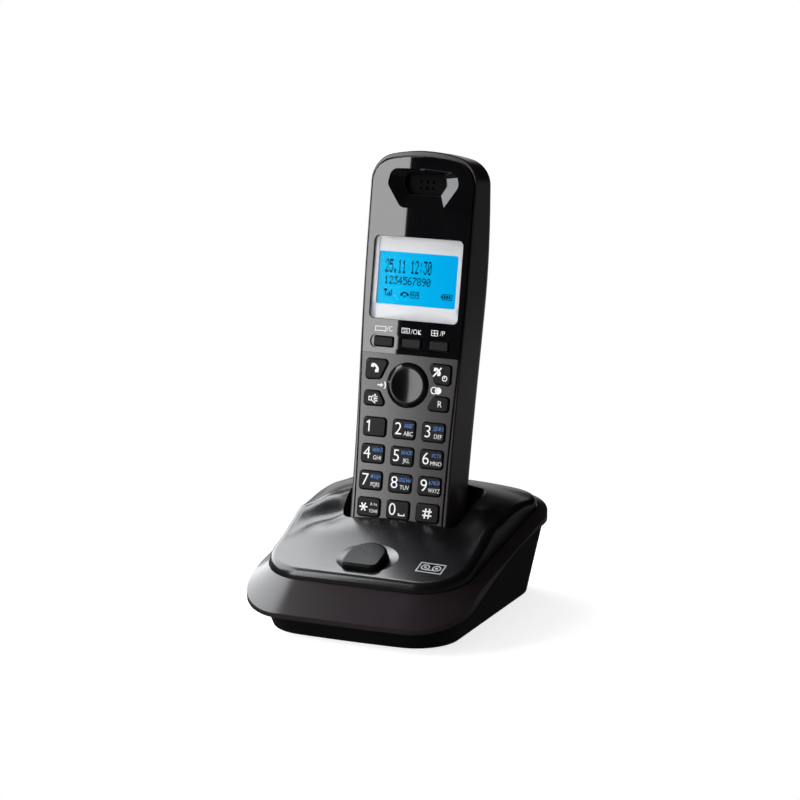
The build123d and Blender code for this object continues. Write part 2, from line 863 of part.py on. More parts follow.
# Handset rear case
with BuildPart() as rear_case:
    with BuildSketch(depth(case_front_set)):
        add(case_outline())
    extrude(amount=case_front_set - handset_depth)
    with BuildSketch(SIDE):
        with BuildLine():
            rear = Spline(
                (handset_taper_start, handset_depth),
                (handset_height, handset_top_depth),
                tangents=[(1, 0), (1, -taper_end_slope)],
            )
            Polyline(
                rear @ 1,
                (handset_height, -handset_depth),
                (-handset_depth, -handset_depth),
                (-handset_depth, handset_depth),
                rear @ 0,
            )
        make_face()
    extrude(amount=2 * handset_depth, both=True, mode=Mode.INTERSECT)
    rear_faces = rear_case.faces().sort_by(Axis(FRONT.origin, -FRONT.z_dir))[-2:]
    rear_edges = ShapeList(
        edge
        for edge in rear_faces.edges()
        if abs(FRONT.to_local_coords(edge.center()).Y - handset_taper_start) > case_wall
    )
    fillet(rear_edges, case_rear_radius)
    front_face = rear_case.faces().sort_by(Axis(FRONT.origin, FRONT.z_dir))[-1]
    fillet(front_face.edges(), case_front_radius)
    with BuildSketch(depth(0)):
        add(front_outline(-front_gap))
    extrude(amount=-front_thickness, mode=Mode.SUBTRACT)
    with BuildSketch(depth(front_thickness)):
        add(front_outline(front_ledge))
    extrude(amount=front_thickness - cavity_depth, mode=Mode.SUBTRACT)
    for low, high, hollow in hollows:
        with BuildSketch(depth(cavity_depth)):
            with Locations((0, (low + high) / 2)):
                RectangleRounded(2 * hollow_half_width, high - low, hollow_corner)
        extrude(amount=cavity_depth - hollow, mode=Mode.SUBTRACT)
    with BuildSketch(depth(cavity_depth)):
        with Locations(*board_posts):
            Circle(board_post_radius)
    extrude(amount=cavity_depth - board_depth - board_thickness)
    with BuildSketch(depth(cavity_depth)):
        with Locations((0, ringer_height)):
            Circle(ringer_radius + ringer_gap)
    extrude(amount=cavity_depth - ringer_depth - ringer_thickness, mode=Mode.SUBTRACT)
    with BuildSketch(depth(cavity_depth)):
        with GridLocations(0, ringer_slot_pitch, 1, ringer_slot_count):
            with Locations((0, ringer_height)):
                SlotOverall(ringer_radius, ringer_slot_pitch / 2)
    extrude(amount=-handset_depth, mode=Mode.SUBTRACT)
    with BuildSketch(level(door_low - door_travel - door_gap)):
        add(door_channel())
    extrude(amount=door_high - door_low + door_travel + 2 * door_gap, mode=Mode.SUBTRACT)
    with BuildSketch(depth(bay_depth)):
        with Locations((0, cell_low + cell_length / 2)):
            Rectangle(2 * bay_half_width, cell_length + 2 * contact_room)
    extrude(amount=-handset_depth, mode=Mode.SUBTRACT)
    with BuildSketch(level(0)):
        with Locations((-terminal_spread, terminal_depth), (terminal_spread, terminal_depth)):
            Rectangle(terminal_width, terminal_reach)
    extrude(amount=terminal_thickness, mode=Mode.SUBTRACT)
    with BuildSketch(depth(handset_depth)):
        with Locations(*handset_screw_places):
            Circle(screw_head_radius)
    extrude(amount=door_thickness + door_gap + screw_head_height, mode=Mode.SUBTRACT)
finish(rear_case.part, "handset_rear_case")

with BuildPart() as handset_screws:
    screw_bed = handset_depth - door_thickness - door_gap - screw_head_height
    with BuildSketch(depth(screw_bed)):
        with Locations(*handset_screw_places):
            Circle(screw_head_radius - screw_gap)
    extrude(amount=screw_gap - screw_head_height)
finish(handset_screws.part, "handset_screws")

with BuildPart() as charge_terminals:
    with BuildSketch(level(0)):
        with Locations((-terminal_spread, terminal_depth), (terminal_spread, terminal_depth)):
            Rectangle(terminal_width, terminal_reach)
    extrude(amount=terminal_thickness)
finish(charge_terminals.part, "charge_terminals")

# Handset front case with the keypad plate
with BuildPart() as front_case:
    with BuildSketch(depth(0)):
        add(front_outline())
    extrude(amount=-front_thickness)
    fillet(front_case.faces().sort_by(Axis(FRONT.origin, FRONT.z_dir))[-1].edges(), front_edge)
    with BuildSketch(depth(0)):
        with Locations((0, fascia_foot + handset_height / 2)):
            Rectangle(2 * handset_depth, handset_height)
    extrude(amount=-fascia_thickness, mode=Mode.SUBTRACT)
    with BuildSketch(depth(0)):
        for outline in list(key_outlines.values()) + list(soft_outlines.values()):
            add(grown(outline, key_gap))
        with Locations((0, navigator_height)):
            Circle(navigator_radius + navigator_gap)
        add(frame_outline())
        add(ear_ring(ear_edge, ear_edge_corner, ear_wall + lens_gap))
        with Locations((0, mic_height)):
            Circle(mic_hole_radius)
    extrude(amount=-2 * front_thickness, mode=Mode.SUBTRACT)
finish(front_case.part, "handset_front_case")

# Gloss fascia with the earpiece scoop
with BuildPart() as fascia:
    with BuildSketch(depth(0)):
        add(front_outline())
    extrude(amount=-fascia_thickness)
    fillet(fascia.faces().sort_by(Axis(FRONT.origin, FRONT.z_dir))[-1].edges(), fascia_edge)
    with BuildSketch(depth(0)):
        with Locations((0, fascia_foot + fascia_gap + handset_height / 2)):
            Rectangle(2 * handset_depth, handset_height)
    extrude(amount=-fascia_thickness, mode=Mode.INTERSECT)
    with BuildSketch(depth(fascia_thickness)):
        add(ear_ring(ear_edge, ear_edge_corner, ear_wall))
    extrude(amount=fascia_thickness - ear_floor_depth - ear_wall)
    with BuildSketch(depth(0)):
        add(ear_ring(ear_edge, ear_edge_corner))
    with BuildSketch(depth(ear_step_depth)):
        add(ear_ring(ear_floor, ear_floor_corner))
    loft(mode=Mode.SUBTRACT)
    with BuildSketch(depth(ear_step_depth)):
        add(ear_ring(ear_floor, ear_floor_corner))
    extrude(amount=ear_step_depth - ear_floor_depth, mode=Mode.SUBTRACT)
    with BuildSketch(depth(ear_floor_depth)):
        with Locations((0, ear_centre + ear_holes_up)):
            with GridLocations(ear_hole_pitch, ear_hole_pitch, 3, 2):
                Circle(ear_hole_radius)
    extrude(amount=-2 * ear_wall, mode=Mode.SUBTRACT)
    with BuildSketch(depth(0)):
        add(soft_slot())
    extrude(amount=-soft_slot_depth, mode=Mode.SUBTRACT)
    with BuildSketch(depth(0)):
        add(frame_outline())
        for outline in soft_outlines.values():
            add(grown(outline, key_gap))
    extrude(amount=-fascia_thickness, mode=Mode.SUBTRACT)
finish(fascia.part, "handset_fascia")

# Display stack: lens, frame and module
with BuildPart() as display_lens:
    with BuildSketch(depth(0)):
        add(frame_outline(-lens_gap))
    extrude(amount=-fascia_thickness)
finish(display_lens.part, "display_lens")

with BuildPart() as display_frame:
    with BuildSketch(depth(fascia_thickness)):
        add(frame_outline(-lens_gap))
        add(display_window(), mode=Mode.SUBTRACT)
    extrude(amount=-frame_thickness)
finish(display_frame.part, "display_frame")

with BuildPart() as display_module:
    with BuildSketch(depth(fascia_thickness + frame_thickness)):
        add(display_window(lcd_margin))
    extrude(amount=fascia_thickness + frame_thickness - board_depth)
finish(display_module.part, "display_module")


def keycap(outline, proud, flange):
    """Key with eased top edges and a flange that stops under the plate."""
    with BuildPart() as key:
        with BuildSketch(depth(key_depth)):
            add(outline)
        extrude(amount=key_depth + proud)
        fillet(key.faces().sort_by(Axis(FRONT.origin, FRONT.z_dir))[-1].edges(), key_edge)
        with BuildSketch(depth(key_depth)):
            add(grown(outline, flange))
        extrude(amount=key_flange_height)
    return key.part


for key_name, outline in key_outlines.items():
    finish(keycap(outline, key_proud, key_flange), key_name)
for key_name, outline in soft_outlines.items():
    finish(keycap(outline, -soft_key_sink, soft_key_flange), key_name)

# Navigator: a dished round key that rocks on its carrier
NAVIGATOR = Plane(
    origin=FRONT.from_local_coords((0, navigator_height, 0)), x_dir=FRONT.x_dir, z_dir=-FRONT.y_dir
)
navigator_axis = Axis(NAVIGATOR.origin, FRONT.z_dir)
navigator_sphere = (navigator_dish_radius**2 + navigator_dish**2) / (2 * navigator_dish)
with BuildPart() as navigator_disc:
    with BuildSketch(NAVIGATOR):
        with BuildLine():
            Polyline(
                (0, -navigator_depth),
                (navigator_radius, -navigator_depth),
                (navigator_radius, 0),
                (navigator_top_radius, navigator_proud),
                (0, navigator_proud),
                close=True,
            )
        make_face()
    revolve(axis=navigator_axis)
    with Locations(NAVIGATOR.from_local_coords((0, navigator_sphere + navigator_proud - navigator_dish, 0))):
        Sphere(navigator_sphere, mode=Mode.SUBTRACT)
finish(navigator_disc.part, "navigator_disc")

with BuildPart() as navigator_carrier:
    with BuildSketch(depth(navigator_depth + carrier_gap)):
        with Locations((0, navigator_height)):
            Circle(carrier_radius)
    extrude(amount=-carrier_height)
finish(navigator_carrier.part, "navigator_carrier")

# Keypad mat with a boss under each key, and the board behind it
with BuildPart() as keypad_mat:
    with BuildSketch(depth(board_depth)):
        add(front_outline(board_inset))
        with Locations((0, (board_low + mat_high) / 2)):
            Rectangle(2 * handset_depth, mat_high - board_low, mode=Mode.INTERSECT)
    extrude(amount=mat_thickness)
    with BuildSketch(depth(board_depth - mat_thickness)):
        for outline in list(key_outlines.values()) + list(soft_outlines.values()):
            with Locations(outline.faces()[0].center()):
                Circle(mat_boss_radius)
        with Locations((0, navigator_height)):
            Circle(mat_boss_radius)
    extrude(amount=mat_boss_height)
finish(keypad_mat.part, "keypad_mat")

with BuildPart() as handset_board:
    with BuildSketch(depth(board_depth)):
        add(front_outline(board_inset))
        with Locations((0, (board_low + board_high) / 2)):
            Rectangle(2 * handset_depth, board_high - board_low, mode=Mode.INTERSECT)
    extrude(amount=-board_thickness)
finish(handset_board.part, "handset_board")

# Sound pieces
with BuildPart() as earpiece_speaker:
    with BuildSketch(depth(ear_floor_depth + ear_wall)):
        with Locations((0, ear_centre)):
            Circle(ear_speaker_radius)
    extrude(amount=-ear_speaker_depth)
finish(earpiece_speaker.part, "earpiece_speaker")

with BuildPart() as ringer_speaker:
    with BuildSketch(depth(ringer_depth)):
        with Locations((0, ringer_height)):
            Circle(ringer_radius)
    extrude(amount=-ringer_thickness)
finish(ringer_speaker.part, "ringer_speaker")

with BuildPart() as microphone:
    with BuildSketch(depth(front_thickness)):
        with Locations((0, mic_height)):
            Circle(mic_radius)
    extrude(amount=-mic_depth)
finish(microphone.part, "microphone")

# Two cells, their contacts and the door over them
cell_places = [(side * (cell_radius + cell_gap / 2), cell_depth) for side in (-1, 1)]
with BuildPart() as batteries:
    with BuildSketch(level(cell_low + cell_nub)):
        with Locations(*cell_places):
            Circle(cell_radius)
    extrude(amount=cell_length - 2 * cell_nub)
    with BuildSketch(level(cell_low)):
        with Locations(*cell_places):
            Circle(cell_nub_radius)
    extrude(amount=cell_length)
finish(batteries.part, "batteries")

bay_ends = [(cell_low - contact_room, 1), (cell_low + cell_length + contact_room, -1)]
with BuildPart() as battery_contacts:
    for height, inward in bay_ends:
        with BuildSketch(level(height)):
            with Locations(*cell_places):
                Rectangle(2 * cell_radius - cell_gap, 2 * cell_radius - cell_gap)
        extrude(amount=inward * contact_thickness)
        with BuildSketch(level(height + inward * contact_thickness)):
            with Locations(*cell_places):
                Circle(contact_spring_radius)
        extrude(amount=inward * (contact_room - contact_thickness), taper=contact_spring_taper)
finish(battery_contacts.part, "battery_contacts")

with BuildPart() as battery_door:
    with BuildSketch(level(door_low)):
        add(door_section())
    extrude(amount=door_high - door_low)
    with BuildSketch(depth(handset_depth)):
        with Locations((0, door_high - door_grip_height)):
            with GridLocations(0, door_grip_pitch, 1, door_grip_count):
                SlotOverall(door_grip_width, door_grip_pitch / 2)
    extrude(amount=door_grip_depth, mode=Mode.SUBTRACT)
finish(battery_door.part, "battery_door")
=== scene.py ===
import math

import bmesh
import bpy
from mathutils import Matrix, Quaternion, Vector
from mathutils.bvhtree import BVHTree


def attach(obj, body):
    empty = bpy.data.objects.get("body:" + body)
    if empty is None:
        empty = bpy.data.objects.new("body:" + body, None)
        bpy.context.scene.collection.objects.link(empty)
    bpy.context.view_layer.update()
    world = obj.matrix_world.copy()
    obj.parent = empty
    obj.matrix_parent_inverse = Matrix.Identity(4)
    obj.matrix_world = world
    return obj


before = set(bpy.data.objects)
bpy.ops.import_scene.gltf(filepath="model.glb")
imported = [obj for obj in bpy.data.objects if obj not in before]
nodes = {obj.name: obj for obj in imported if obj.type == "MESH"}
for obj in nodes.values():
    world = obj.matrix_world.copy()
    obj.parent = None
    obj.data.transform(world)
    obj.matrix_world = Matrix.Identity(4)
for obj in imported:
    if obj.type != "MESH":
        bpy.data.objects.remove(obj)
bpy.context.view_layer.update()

scene = bpy.context.scene

# Planes that are printed on, in the millimetres of the part's source
MM = 0.001
RIGHT = Vector((1, 0, 0))
LEAN = math.radians(10.8)
HANDSET_FOOT = Vector((0.0, -4.6, 22.1))
OUT = Vector((0.0, -math.cos(LEAN), math.sin(LEAN)))
KEY_PROUD = 0.7
LCD_DEPTH = 2.8
BUTTON_TILT = math.radians(17.0)
BUTTON_CENTRE = Vector((0.0, -30.5, 28.7))
BUTTON_UP = Vector((0.0, -math.sin(BUTTON_TILT), math.cos(BUTTON_TILT)))
BUTTON_PROUD = 2.3
TAPE_CENTRE = Vector((26.9, -31.6, 27.9))


def plane(origin, out):
    """Matrix of a plane that is drawn on in millimetres: x to the right, heights along out."""
    columns = (RIGHT, out.cross(RIGHT), out, origin)
    rows = [[column[r] * MM for column in columns] for r in range(3)]
    return Matrix((*rows, (0, 0, 0, 1)))


def front(depth=0.0):
    """Plane of the handset's front, at a depth in the handset: width, and height above the foot."""
    return plane(HANDSET_FOOT - OUT * depth, OUT)


PLATE = front()
KEY_TOP = front(-KEY_PROUD)
SCREEN = front(LCD_DEPTH)
BUTTON_TOP = plane(BUTTON_CENTRE + BUTTON_UP * BUTTON_PROUD, BUTTON_UP)
TAPE_PLANE = plane(TAPE_CENTRE, BUTTON_UP)


# Node helpers
def start_material(name):
    """New node material: its tree, shader and object coordinates."""
    made = bpy.data.materials.new(name)
    made.use_nodes = True
    tree = made.node_tree
    shader = tree.nodes["Principled BSDF"]
    place = tree.nodes.new("ShaderNodeTexCoord").outputs["Object"]
    return made, tree, shader, place


def noise(tree, place, scale, detail=3.0):
    """Noise value at a scale in cycles per metre."""
    node = tree.nodes.new("ShaderNodeTexNoise")
    node.inputs["Scale"].default_value = scale
    node.inputs["Detail"].default_value = detail
    tree.links.new(place, node.inputs["Vector"])
    return node.outputs["Fac"]


def remap(tree, value, low, high, start=0.3, end=0.7):
    """Value that runs from low to high while the input runs from start to end."""
    node = tree.nodes.new("ShaderNodeMapRange")
    node.inputs["From Min"].default_value = start
    node.inputs["From Max"].default_value = end
    node.inputs["To Min"].default_value = low
    node.inputs["To Max"].default_value = high
    tree.links.new(value, node.inputs["Value"])
    return node.outputs["Result"]


def tint(tree, value, first, other):
    """Colour between two tones."""
    node = tree.nodes.new("ShaderNodeMix")
    node.data_type = "RGBA"
    node.inputs["A"].default_value = (*first, 1)
    node.inputs["B"].default_value = (*other, 1)
    tree.links.new(value, node.inputs["Factor"])
    return node.outputs["Result"]


def bump(tree, shader, value, height):
    """Surface relief of a height in metres."""
    node = tree.nodes.new("ShaderNodeBump")
    node.inputs["Strength"].default_value = 1.0
    node.inputs["Distance"].default_value = height
    tree.links.new(value, node.inputs["Height"])
    tree.links.new(node.outputs["Normal"], shader.inputs["Normal"])


def pick(tree, factor, first, other):
    """Mix of two values by a factor; each is a number or a socket."""
    node = tree.nodes.new("ShaderNodeMix")
    for socket, value in (("A", first), ("B", other)):
        if isinstance(value, (int, float)):
            node.inputs[socket].default_value = value
        else:
            tree.links.new(value, node.inputs[socket])
    tree.links.new(factor, node.inputs["Factor"])
    return node.outputs["Result"]


def along(tree, place, axis):
    """Distance of a place along an axis."""
    node = tree.nodes.new("ShaderNodeVectorMath")
    node.operation = "DOT_PRODUCT"
    node.inputs[1].default_value = axis
    tree.links.new(place, node.inputs[0])
    return node.outputs["Value"]


def product(tree, first, other):
    """Two values multiplied."""
    node = tree.nodes.new("ShaderNodeMath")
    node.operation = "MULTIPLY"
    tree.links.new(first, node.inputs[0])
    tree.links.new(other, node.inputs[1])
    return node.outputs["Value"]


def emission(tree, strength):
    """White glow of a strength."""
    node = tree.nodes.new("ShaderNodeEmission")
    node.inputs["Strength"].default_value = strength
    return node.outputs["Emission"]


def mixed(tree, factor, first, other):
    """Mix of two shaders."""
    node = tree.nodes.new("ShaderNodeMixShader")
    tree.links.new(factor, node.inputs["Fac"])
    tree.links.new(first, node.inputs[1])
    tree.links.new(other, node.inputs[2])
    return node.outputs["Shader"]


# Materials
def plastic(name, dark, light, rough, patch, grain, relief=0.0, specular=0.5, metallic=0.0):
    """Moulded plastic, metal or ink: slow colour patches, roughness that varies, fine grain."""
    made, tree, shader, place = start_material(name)
    slow = noise(tree, place, patch)
    fine = noise(tree, place, grain, 2.0)
    tree.links.new(tint(tree, remap(tree, slow, 0, 1), dark, light), shader.inputs["Base Color"])
    tree.links.new(remap(tree, fine, *rough), shader.inputs["Roughness"])
    if relief:
        bump(tree, shader, fine, relief)
    shader.inputs["Specular IOR Level"].default_value = specular
    shader.inputs["Metallic"].default_value = metallic
    return made


def print_ink(name, dark, light, specular=0.5):
    """Printed ink of one kind, in two near tones."""
    return plastic(name, dark, light, rough=(0.45, 0.6), patch=400, grain=8000, specular=specular)


BLACK = ((0.0025, 0.0025, 0.003), (0.004, 0.004, 0.0045))
KEY_BLACK = ((0.003, 0.0028, 0.0032), (0.0045, 0.0042, 0.0046))
PANEL_BLACK = ((0.003, 0.003, 0.0035), (0.005, 0.0045, 0.005))
GRAPHITE = ((0.012, 0.0085, 0.010), (0.016, 0.0115, 0.0135))
ALUMINIUM = ((0.56, 0.56, 0.58), (0.62, 0.62, 0.64))
RUBBER_GREY = ((0.012, 0.012, 0.012), (0.022, 0.022, 0.022))
BOARD_GREEN = ((0.012, 0.085, 0.03), (0.02, 0.12, 0.045))
SOOT = ((0.010, 0.010, 0.010), (0.016, 0.016, 0.016))
NICKEL = ((0.52, 0.51, 0.49), (0.62, 0.61, 0.59))
CELL_GREEN = ((0.015, 0.12, 0.03), (0.025, 0.16, 0.05))
SEGMENT_BLUE = ((0.0, 0.006, 0.03), (0.0, 0.008, 0.04))

PANEL = plastic("semi_gloss_panel", *PANEL_BLACK, rough=(0.22, 0.26), patch=50, grain=5000, relief=1e-6)
SATIN = plastic("satin_graphite_paint", *GRAPHITE, rough=(0.20, 0.25), patch=40, grain=6000, relief=1e-6)
CASE = plastic(
    "textured_black_case", *BLACK, rough=(0.5, 0.62), patch=80, grain=4500, relief=8e-6, specular=0.15
)
KEYS = plastic(
    "semi_matte_keycap", *KEY_BLACK, rough=(0.34, 0.44), patch=120, grain=5000, relief=2e-6, specular=0.12
)
BUTTON = plastic(
    "satin_button", *KEY_BLACK, rough=(0.22, 0.27), patch=120, grain=5000, relief=1e-6, specular=0.07
)
DISC = plastic("polished_disc", *BLACK, rough=(0.08, 0.12), patch=60, grain=3000, specular=0.3)
SILVER = plastic("satin_silver", *ALUMINIUM, rough=(0.36, 0.46), patch=90, grain=7000, relief=2e-6)
RUBBER = plastic("matte_rubber", *RUBBER_GREY, rough=(0.75, 0.9), patch=150, grain=4000, relief=2e-5)
BOARD = plastic("solder_mask", *BOARD_GREEN, rough=(0.25, 0.4), patch=700, grain=2500, relief=1e-5)
PART = plastic("moulded_component", *SOOT, rough=(0.4, 0.55), patch=200, grain=4000, relief=8e-6)
STEEL = plastic("plated_steel", *NICKEL, rough=(0.2, 0.34), patch=300, grain=5000, relief=2e-6, metallic=1.0)
CELL = plastic("cell_sleeve", *CELL_GREEN, rough=(0.25, 0.35), patch=150, grain=2000)
SEGMENTS = plastic("display_segments", *SEGMENT_BLUE, rough=(0.5, 0.6), patch=900, grain=8000, specular=0.0)
WHITE_INK = print_ink("white_ink", (0.74, 0.74, 0.75), (0.82, 0.82, 0.83))
BLUE_INK = print_ink("blue_ink", (0.05, 0.19, 0.55), (0.06, 0.22, 0.62))
GREY_INK = print_ink("grey_ink", (0.30, 0.30, 0.31), (0.36, 0.36, 0.37))
DARK_INK = print_ink("dark_ink", (0.002, 0.002, 0.002), (0.004, 0.004, 0.004), specular=0.2)

# Depths under the fascia's face, in millimetres, between which the earpiece turns from gloss to matte
GLOSS_DEPTH = 2.1
MATTE_DEPTH = 2.4
GLOSS = {"Roughness": 0.02, "Specular IOR Level": 0.5}
MATTE = {"Roughness": 0.6, "Specular IOR Level": 0.02}


def make_fascia():
    """Gloss black fascia; the deep floor of its earpiece is matte."""
    made, tree, shader, place = start_material("gloss_fascia")
    slow = noise(tree, place, 60)
    tree.links.new(tint(tree, remap(tree, slow, 0, 1), *BLACK), shader.inputs["Base Color"])
    height = along(tree, place, OUT)
    face = HANDSET_FOOT.dot(OUT) * MM
    turn = (face - MATTE_DEPTH * MM, face - GLOSS_DEPTH * MM)
    for socket in GLOSS:
        tree.links.new(remap(tree, height, MATTE[socket], GLOSS[socket], *turn), shader.inputs[socket])
    return made


def make_lens():
    """Clear lens of the display: see-through, with a faint shine."""
    made, tree, shader, place = start_material("clear_lens")
    slow = noise(tree, place, 40, 2.0)
    haze = tint(tree, remap(tree, slow, 0, 1), (0.002, 0.002, 0.003), (0.004, 0.004, 0.005))
    tree.links.new(haze, shader.inputs["Base Color"])
    tree.links.new(remap(tree, slow, 0.08, 0.12), shader.inputs["Roughness"])
    shader.inputs["Alpha"].default_value = 0.03
    return made


# Places across the display, in metres, between which its glow is made darker to the right: painted shade
PAINTED_SHADE_START = -0.012
PAINTED_SHADE_END = 0.017


def make_display():
    """Lit blue display with painted shade: its glow is made darker to the right, over a fine dark grain."""
    made, tree, shader, place = start_material("lit_display")
    # Painted shade: the glow runs from a brighter blue on the left to a darker blue on the right
    painted_shade = remap(tree, along(tree, place, RIGHT), 0, 1, PAINTED_SHADE_START, PAINTED_SHADE_END)
    glow = tint(tree, painted_shade, (0.0, 0.52, 0.92), (0.0, 0.40, 0.84))
    tree.links.new(glow, shader.inputs["Emission Color"])
    shader.inputs["Emission Strength"].default_value = 1.0
    fine = noise(tree, place, 6000, 1.0)
    grain = tint(tree, fine, (0.0, 0.004, 0.012), (0.0, 0.006, 0.016))
    tree.links.new(grain, shader.inputs["Base Color"])
    tree.links.new(remap(tree, fine, 0.4, 0.5), shader.inputs["Roughness"])
    shader.inputs["Specular IOR Level"].default_value = 0.0
    return made


node_materials = {
    "base_top_panel": PANEL,
    "base_rim": SATIN,
    "base_lower_case": CASE,
    "base_feet": RUBBER,
    "base_screws": STEEL,
    "base_board": BOARD,
    "locator_button": BUTTON,
    "locator_switch": PART,
    "line_socket": PART,
    "power_inlet": PART,
    "charge_contact_left": STEEL,
    "charge_contact_right": STEEL,
    "handset_rear_case": SATIN,
    "handset_front_case": SATIN,
    "handset_fascia": make_fascia(),
    "handset_screws": STEEL,
    "handset_board": BOARD,
    "battery_door": SATIN,
    "batteries": CELL,
    "battery_contacts": STEEL,
    "charge_terminals": STEEL,
    "keypad_mat": RUBBER,
    "navigator_disc": DISC,
    "navigator_carrier": PART,
    "microphone": PART,
    "earpiece_speaker": PART,
    "ringer_speaker": PART,
    "display_lens": make_lens(),
    "display_frame": SILVER,
    "display_module": make_display(),
}
# The nodes that are not listed are key caps
for name, node in nodes.items():
    node.data.materials.clear()
    node.data.materials.append(node_materials.get(name, KEYS))


# Flat shapes in millimetres, as outlines
def area(x0, y0, x1, y1):
    """Rectangle."""
    return [(x0, y0), (x1, y0), (x1, y1), (x0, y1)]


def stroke(x0, y0, x1, y1, width):
    """Straight line with a width."""
    run = Vector((x1 - x0, y1 - y0)).normalized() * width / 2
    return [
        (x0 + run.y, y0 - run.x),
        (x1 + run.y, y1 - run.x),
        (x1 - run.y, y1 + run.x),
        (x0 - run.y, y0 + run.x),
    ]


def disc(x, y, radius, count=20):
    """Filled circle."""
    turns = [2 * math.pi * i / count for i in range(count)]
    return [(x + radius * math.cos(t), y + radius * math.sin(t)) for t in turns]


def arc(x, y, radius, width, start=0.0, end=360.0, count=24):
    """Stroke along a circle, from start to end in degrees, as a run of short pieces."""
    inner = radius - width / 2
    outer = radius + width / 2
    pieces = []
    for i in range(count):
        t0 = math.radians(start + (end - start) * i / count)
        t1 = math.radians(start + (end - start) * (i + 1) / count)
        corners = [(inner, t0), (outer, t0), (outer, t1), (inner, t1)]
        pieces.append([(x + r * math.cos(t), y + r * math.sin(t)) for r, t in corners])
    return pieces


def outline_box(x0, y0, x1, y1, width):
    """Rectangle drawn as a line."""
    half = width / 2
    return [
        stroke(x0 - half, y0, x1 + half, y0, width),
        stroke(x0 - half, y1, x1 + half, y1, width),
        stroke(x0, y0, x0, y1, width),
        stroke(x1, y0, x1, y1, width),
    ]


def turned_about(pieces, x, y, degrees):
    """The pieces turned about a point."""
    c = math.cos(math.radians(degrees))
    s = math.sin(math.radians(degrees))

    def turned(px, py):
        return x + (px - x) * c - (py - y) * s, y + (px - x) * s + (py - y) * c

    return [[turned(px, py) for px, py in piece] for piece in pieces]


# Printed pieces
PRINT = 0.03
CAPITAL_SHARE = 0.729
THINNING = -0.012


def lettering(text, x, y, height, squeeze):
    """Text mark: words, centre, height of a capital and width share."""
    return {"text": text, "x": x, "y": y, "height": height, "squeeze": squeeze}


def text_mesh(mark, thick):
    """Mesh of one text in millimetres."""
    font = bpy.data.curves.new("lettering", "FONT")
    font.body = mark["text"]
    font.size = mark["height"] / CAPITAL_SHARE
    font.align_x = "CENTER"
    font.align_y = "CENTER"
    font.extrude = thick / 2
    font.offset = THINNING * mark["height"]
    font.resolution_u = 4
    holder = bpy.data.objects.new("lettering", font)
    scene.collection.objects.link(holder)
    bpy.context.view_layer.update()
    made = bpy.data.meshes.new_from_object(holder.evaluated_get(bpy.context.evaluated_depsgraph_get()))
    bpy.data.objects.remove(holder)
    narrowed = Matrix.Diagonal((mark["squeeze"], 1, 1, 1))
    made.transform(Matrix.Translation((mark["x"], mark["y"], thick / 2)) @ narrowed)
    return made


def add_slab(sheet, outline, thick):
    """Adds an outline to a sheet as a slab."""
    low = [sheet.verts.new((x, y, 0)) for x, y in outline]
    high = [sheet.verts.new((x, y, thick)) for x, y in outline]
    sheet.faces.new(low[::-1])
    sheet.faces.new(high)
    for i in range(len(outline)):
        j = (i + 1) % len(outline)
        sheet.faces.new((low[i], low[j], high[j], high[i]))


def printed(name, body, where, marks, ink, thick=PRINT, surface=None):
    """Printed piece on a plane, or laid from the plane on to a curved surface."""
    sheet = bmesh.new()
    for mark in marks:
        if isinstance(mark, dict):
            letters = text_mesh(mark, thick)
            sheet.from_mesh(letters)
            bpy.data.meshes.remove(letters)
        else:
            add_slab(sheet, mark, thick)
    bmesh.ops.recalc_face_normals(sheet, faces=sheet.faces)
    for vert in sheet.verts:
        lift = vert.co.z * MM
        vert.co = where @ vert.co
        if surface:
            point, normal, _, _ = surface.find_nearest(vert.co)
            vert.co = point + normal * lift
    mesh = bpy.data.meshes.new(name)
    sheet.to_mesh(mesh)
    sheet.free()
    mesh.materials.append(ink)
    piece = bpy.data.objects.new(name, mesh)
    scene.collection.objects.link(piece)
    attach(piece, body)


# Dial keys: digits, letters and signs about each key's centre
ROW_ONE = 50.0
ROW_PITCH = 10.5
COLUMN_PITCH = 12.44
BOLD = 0.55
DIGIT_LEFT = 2.3
DIGIT_HEIGHT = 5.0
DIGIT_SQUEEZE = 0.96
LETTERS_RIGHT = 2.1
LATIN_DROP = 1.55
LATIN_HEIGHT = 1.75
LATIN_SQUEEZE = {3: 0.86, 4: 0.68}
SECOND_RISE = 1.45
SECOND_HEIGHT = 1.55
SECOND_SQUEEZE = 0.72
DIAL = ("1", "2", "3", "4", "5", "6", "7", "8", "9", "star", "0", "hash")
LATIN = dict(zip("23456789", ("ABC", "DEF", "GHI", "JKL", "MNO", "PQRS", "TUV", "WXYZ")))
SECOND = dict(zip("23456789", ("АБВГ", "ДЕЖЗ", "ИЙКЛ", "МНОП", "РСТУ", "ФХЦЧ", "ШЩЪЫ", "ЬЭЮЯ")))


def digit_marks(digit, x, y):
    """White marks of a digit key: the digit and what stands beside it."""
    marks = [lettering(digit, x - DIGIT_LEFT, y, DIGIT_HEIGHT, DIGIT_SQUEEZE)]
    if digit == "1":
        flag_top = (x - 2.2, y + 2.25)
        flag_foot = (x - 3.3, y + 1.45)
        marks.append(stroke(*flag_top, *flag_foot, BOLD))
    if digit in LATIN:
        letters = LATIN[digit]
        squeeze = LATIN_SQUEEZE[len(letters)]
        marks.append(lettering(letters, x + LETTERS_RIGHT, y - LATIN_DROP, LATIN_HEIGHT, squeeze))
    if digit == "0":
        marks += space_marks(x, y)
    return marks


def space_marks(x, y):
    """Sign of the space: a level line with two raised ends."""
    line = 0.4
    foot = y - 1.9
    marks = [stroke(x + 0.3, foot, x + 3.1, foot, line)]
    for end in (x + 0.5, x + 2.9):
        marks.append(stroke(end, foot, end, y - 1.1, line))
    return marks


